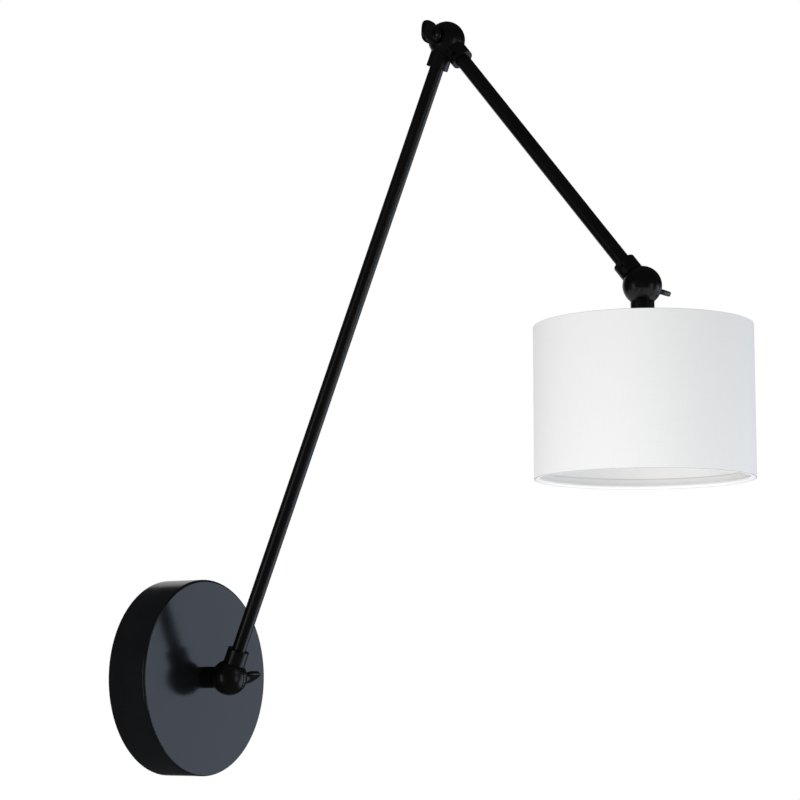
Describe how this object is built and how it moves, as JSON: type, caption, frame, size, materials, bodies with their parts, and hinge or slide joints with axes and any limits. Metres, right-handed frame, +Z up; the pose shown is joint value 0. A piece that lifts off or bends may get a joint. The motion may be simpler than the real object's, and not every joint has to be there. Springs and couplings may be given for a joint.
{
  "type": "swing arm wall sconce",
  "caption": "Wall lamp with a round canopy, two folding arms on serrated ball knuckles clamped by thumbscrews, and a white fabric drum shade.",
  "frame": {"origin": "centre of the canopy on the wall plane, midway between the bracket's two slots", "axes": "+Y into the wall, -Y out into the room, +Z up, +X to the right when facing the wall"},
  "size_m": [0.142, 0.4559, 0.5208],
  "materials": {
    "black_powder_coat": "satin black powder coat",
    "zinc_plated_steel": "zinc plated",
    "black_oxide_steel": "black oxide",
    "brass_fittings": "bright brass",
    "steel_screw": "plated",
    "white_laminated_fabric": "white cotton weave laminated on a white backing",
    "white_enamelled_wire": "white epoxy",
    "black_thermoplastic": "moulded, matt",
    "white_ceramic": "glazed",
    "cream_plastic": "moulded",
    "white_lead_sheath": "smooth",
    "brown_insulation": "smooth",
    "blue_insulation": "smooth",
    "green_yellow_insulation": "striped"
  },
  "bodies": {
    "wall_base": {"wall_bracket": "zinc_plated_steel", "canopy": "black_powder_coat", "canopy_grub_screws": "black_oxide_steel", "base_knuckle_half": "black_powder_coat", "base_nipple": "zinc_plated_steel", "base_nipple_nut": "zinc_plated_steel", "base_lock_washer": "zinc_plated_steel", "terminal_block": "cream_plastic", "terminal_block_screws": "brass_fittings", "terminal_block_fixing": "steel_screw", "earth_cup_washer": "brass_fittings", "earth_screw": "steel_screw", "canopy_lead": "white_lead_sheath", "live_wire": "brown_insulation", "neutral_wire": "blue_insulation", "earth_wire": "green_yellow_insulation"},
    "long_arm": {"long_arm_lower_half": "black_powder_coat", "long_arm_tube": "black_powder_coat", "long_arm_upper_half": "black_powder_coat", "long_arm_grub_screws": "black_oxide_steel", "long_arm_lead": "white_lead_sheath", "shoulder_washer": "black_oxide_steel", "elbow_washer": "black_oxide_steel"},
    "short_arm": {"short_arm_upper_half": "black_powder_coat", "short_arm_tube": "black_powder_coat", "short_arm_lower_half": "black_powder_coat", "short_arm_grub_screws": "black_oxide_steel", "short_arm_lead": "white_lead_sheath", "head_washer": "black_oxide_steel"},
    "head": {"head_knuckle_half": "black_powder_coat", "head_nipple": "zinc_plated_steel", "head_lead": "white_lead_sheath", "lampholder_cap": "black_thermoplastic", "lampholder_body": "black_thermoplastic", "lampholder_core": "white_ceramic", "lampholder_thread": "brass_fittings", "lampholder_contact": "brass_fittings", "lampholder_ring_nut": "black_thermoplastic", "shade_fitter": "white_enamelled_wire", "shade_panel": "white_laminated_fabric", "shade_bottom_ring": "white_enamelled_wire"},
    "shoulder_screw": {"shoulder_thumbscrew": "black_powder_coat"},
    "elbow_screw": {"elbow_thumbscrew": "black_powder_coat"},
    "head_screw": {"head_thumbscrew": "black_powder_coat"}
  },
  "joints": [
    {"name": "shoulder_hinge", "type": "hinge", "parent": "wall_base", "child": "long_arm", "pos_m": [0, -0.0525, 0], "axis": [1, 0, 0], "range_deg": [-24, 110]},
    {"name": "elbow_hinge", "type": "hinge", "parent": "long_arm", "child": "short_arm", "pos_m": [0, -0.23619, 0.43805], "axis": [1, 0, 0], "range_deg": [-165, 0]},
    {"name": "head_hinge", "type": "hinge", "parent": "short_arm", "child": "head", "pos_m": [0, -0.38494, 0.2497], "axis": [1, 0, 0], "range_deg": [-90, 55]},
    {"name": "shoulder_screw_turn", "type": "hinge", "parent": "wall_base", "child": "shoulder_screw", "pos_m": [0, -0.0525, 0], "axis": [1, 0, 0], "range_deg": [-90, 90]},
    {"name": "elbow_screw_turn", "type": "hinge", "parent": "short_arm", "child": "elbow_screw", "pos_m": [0, -0.23619, 0.43805], "axis": [1, 0, 0], "range_deg": [-90, 90]},
    {"name": "head_screw_turn", "type": "hinge", "parent": "head", "child": "head_screw", "pos_m": [0, -0.38494, 0.2497], "axis": [1, 0, 0], "range_deg": [-90, 90]}
  ]
}
